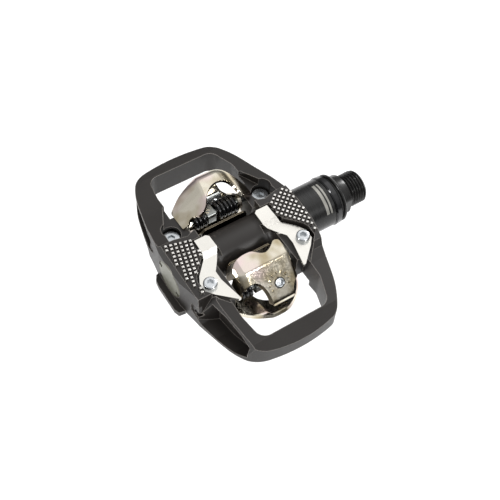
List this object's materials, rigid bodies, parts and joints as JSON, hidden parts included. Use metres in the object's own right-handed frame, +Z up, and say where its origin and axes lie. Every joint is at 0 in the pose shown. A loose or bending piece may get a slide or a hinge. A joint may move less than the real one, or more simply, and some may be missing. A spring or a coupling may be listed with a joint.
{
  "type": "clipless pedal",
  "caption": "Double-sided trail clipless pedal: an open alloy cage turns on a threaded spindle, with a fixed toe hoop and a sprung rear claw on each face.",
  "frame": {"origin": "on the axle's axis at the face that seats on the crank arm, where the thread starts", "axes": "+X along the axle into the crank, +Y towards the front of the pedal, +Z up, square to the cage"},
  "size_m": [0.0942, 0.0996, 0.026],
  "materials": {
    "cage_black": "satin anodised",
    "axle_black": "satin black oxide",
    "ring_gloss": "gloss black",
    "seal_rubber": "matte",
    "bush_bronze": "turned",
    "bearing_steel": "ground",
    "cap_grey": "satin",
    "plate_steel": "polished",
    "screw_steel": "bright zinc",
    "hoop_plated": "warm nickel plating",
    "spring_black": "gloss black",
    "pin_steel": "turned"
  },
  "bodies": {
    "spindle": {"spindle": "axle_black", "dust_ring": "seal_rubber", "inner_bearing_inner_race": "bearing_steel", "outer_bearing_inner_race": "bearing_steel", "race_spacer_inner": "bearing_steel", "lock_washer": "bearing_steel", "locknut": "bearing_steel"},
    "inner_ball_set": {"inner_bearing_balls": "bearing_steel"},
    "outer_ball_set": {"outer_bearing_balls": "bearing_steel"},
    "pedal_body": {"cage_body": "cage_black", "axle_sleeve": "axle_black", "sleeve_ring": "ring_gloss", "lip_seal": "seal_rubber", "cap_o_ring": "seal_rubber", "sleeve_bushing": "bush_bronze", "inner_bearing_outer_race": "bearing_steel", "outer_bearing_outer_race": "bearing_steel", "race_spacer_outer": "bearing_steel", "end_cap": "cap_grey", "guide_plate_outer_top": "plate_steel", "guide_plate_inner_top": "plate_steel", "spring_plate_top": "plate_steel", "plate_screw_outer_top": "screw_steel", "plate_screw_inner_top": "screw_steel", "plate_nut_outer_top": "screw_steel", "plate_nut_inner_top": "screw_steel", "toe_hoop_top": "hoop_plated", "claw_spring_outer_top": "spring_black", "claw_spring_inner_top": "spring_black", "pivot_pin_top": "pin_steel", "spring_spacer_top": "pin_steel", "guide_plate_outer_bottom": "plate_steel", "guide_plate_inner_bottom": "plate_steel", "spring_plate_bottom": "plate_steel", "plate_screw_outer_bottom": "screw_steel", "plate_screw_inner_bottom": "screw_steel", "plate_nut_outer_bottom": "screw_steel", "plate_nut_inner_bottom": "screw_steel", "toe_hoop_bottom": "hoop_plated", "claw_spring_outer_bottom": "spring_black", "claw_spring_inner_bottom": "spring_black", "pivot_pin_bottom": "pin_steel", "spring_spacer_bottom": "pin_steel"},
    "claw_top": {"rear_claw_top": "hoop_plated"},
    "tension_screw_top": {"tension_screw_top": "screw_steel"},
    "tension_shoe_top": {"tension_shoe_top": "pin_steel"},
    "claw_bottom": {"rear_claw_bottom": "hoop_plated"},
    "tension_screw_bottom": {"tension_screw_bottom": "screw_steel"},
    "tension_shoe_bottom": {"tension_shoe_bottom": "pin_steel"}
  },
  "joints": [
    {"name": "pedal_spin", "type": "hinge", "parent": "spindle", "child": "pedal_body", "pos_m": [0, 0, 0], "axis": [1, 0, 0], "continuous": true},
    {"name": "inner_ball_roll", "type": "hinge", "parent": "spindle", "child": "inner_ball_set", "pos_m": [0, 0, 0], "axis": [1, 0, 0], "continuous": true},
    {"name": "outer_ball_roll", "type": "hinge", "parent": "spindle", "child": "outer_ball_set", "pos_m": [0, 0, 0], "axis": [1, 0, 0], "continuous": true},
    {"name": "claw_open_top", "type": "hinge", "parent": "pedal_body", "child": "claw_top", "pos_m": [-0.052, -0.018, -0.0015], "axis": [1, 0, 0], "range_deg": [0, 15], "stiffness_Nm_per_rad": 2, "springref_deg": -28.65},
    {"name": "tension_turn_top", "type": "hinge", "parent": "claw_top", "child": "tension_screw_top", "pos_m": [-0.0479, -0.02507, 0.00331], "axis": [0, 0.7071, -0.7071], "range_deg": [-90, 540]},
    {"name": "shoe_travel_top", "type": "slide", "parent": "claw_top", "child": "tension_shoe_top", "axis": [0, 0.7071, -0.7071], "range_m": [-0.0002, 0.0012]},
    {"name": "claw_open_bottom", "type": "hinge", "parent": "pedal_body", "child": "claw_bottom", "pos_m": [-0.052, 0.018, 0.0015], "axis": [1, 0, 0], "range_deg": [0, 15], "stiffness_Nm_per_rad": 2, "springref_deg": -28.65},
    {"name": "tension_turn_bottom", "type": "hinge", "parent": "claw_bottom", "child": "tension_screw_bottom", "pos_m": [-0.0479, 0.02507, -0.00331], "axis": [0, -0.7071, 0.7071], "range_deg": [-90, 540]},
    {"name": "shoe_travel_bottom", "type": "slide", "parent": "claw_bottom", "child": "tension_shoe_bottom", "axis": [0, -0.7071, 0.7071], "range_m": [-0.0002, 0.0012]}
  ],
  "couplings": [
    {"joint": "inner_ball_roll", "follows": "pedal_spin", "ratio": 0.576},
    {"joint": "outer_ball_roll", "follows": "pedal_spin", "ratio": 0.576},
    {"joint": "tension_turn_top", "follows": "shoe_travel_top", "rad_per_m": 7854},
    {"joint": "tension_turn_bottom", "follows": "shoe_travel_bottom", "rad_per_m": 7854}
  ]
}
